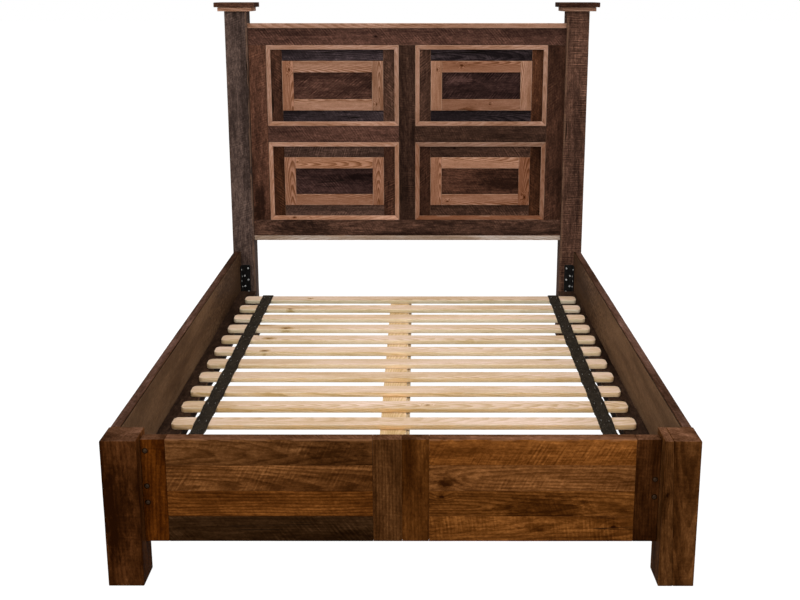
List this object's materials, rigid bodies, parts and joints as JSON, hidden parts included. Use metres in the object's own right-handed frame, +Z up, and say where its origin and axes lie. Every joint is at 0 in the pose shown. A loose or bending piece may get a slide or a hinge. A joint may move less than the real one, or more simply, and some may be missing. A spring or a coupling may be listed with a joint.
{
  "type": "wooden bed frame",
  "caption": "Queen-size panel bed frame in reclaimed boards: capped headboard posts, framed panels, low footboard, side rails and a strapped slat mat on a centre beam.",
  "frame": {"origin": "on the floor, under the middle of the whole bed's outline", "axes": "+Z up, +Y from the foot of the bed to its head, +X to the right seen from the foot"},
  "size_m": [1.714, 2.321, 1.5776],
  "materials": {
    "dark_barn_board": "rough-sawn dark brown, satin lacquer",
    "charcoal_board": "weathered near-black board, satin lacquer",
    "light_oak": "planed salmon-tan oak, satin lacquer",
    "warm_barn_board": "smooth-worn orange-brown board, satin lacquer",
    "cleat_board": "dark stained batten",
    "pale_pine": "planed bare pine",
    "black_webbing": "woven webbing",
    "black_steel": "black coated pressed steel"
  },
  "bodies": {
    "frame": {"head_post_left": "dark_barn_board", "head_cap_board_left": "dark_barn_board", "head_stile_left": "dark_barn_board", "head_mid_rail_left": "dark_barn_board", "head_cap_base_left": "light_oak", "head_field_upper_left": "charcoal_board", "head_field_lower_left": "dark_barn_board", "head_thin_frame_upper_left": "light_oak", "head_inner_frame_upper_left": "light_oak", "head_thin_frame_lower_left": "light_oak", "head_inner_frame_lower_left": "light_oak", "foot_post_left": "warm_barn_board", "foot_end_stile_left": "warm_barn_board", "foot_field_left": "warm_barn_board", "side_rail_left": "warm_barn_board", "slat_cleat_left": "cleat_board", "rail_bracket_head_left": "black_steel", "rail_bracket_foot_left": "black_steel", "head_post_right": "dark_barn_board", "head_cap_board_right": "dark_barn_board", "head_stile_right": "dark_barn_board", "head_mid_rail_right": "dark_barn_board", "head_cap_base_right": "light_oak", "head_field_upper_right": "charcoal_board", "head_field_lower_right": "dark_barn_board", "head_thin_frame_upper_right": "light_oak", "head_inner_frame_upper_right": "light_oak", "head_thin_frame_lower_right": "light_oak", "head_inner_frame_lower_right": "light_oak", "foot_post_right": "warm_barn_board", "foot_end_stile_right": "warm_barn_board", "foot_field_right": "warm_barn_board", "side_rail_right": "warm_barn_board", "slat_cleat_right": "cleat_board", "rail_bracket_head_right": "black_steel", "rail_bracket_foot_right": "black_steel", "head_top_trim": "light_oak", "head_bottom_trim": "light_oak", "head_top_rail": "dark_barn_board", "head_bottom_rail": "dark_barn_board", "head_mullion": "dark_barn_board", "foot_centre_stile": "warm_barn_board", "centre_beam": "pale_pine", "centre_leg_front": "pale_pine", "centre_leg_rear": "pale_pine"},
    "slat_mat": {"slat_01": "pale_pine", "slat_02": "pale_pine", "slat_03": "pale_pine", "slat_04": "pale_pine", "slat_05": "pale_pine", "slat_06": "pale_pine", "slat_07": "pale_pine", "slat_08": "pale_pine", "slat_09": "pale_pine", "slat_10": "pale_pine", "slat_11": "pale_pine", "slat_12": "pale_pine", "slat_13": "pale_pine", "strap_left": "black_webbing", "strap_right": "black_webbing"}
  },
  "joints": [
    {"name": "slat_mat_lift", "type": "slide", "parent": "frame", "child": "slat_mat", "axis": [0, 0, 1], "range_m": [0, 0.2]}
  ]
}
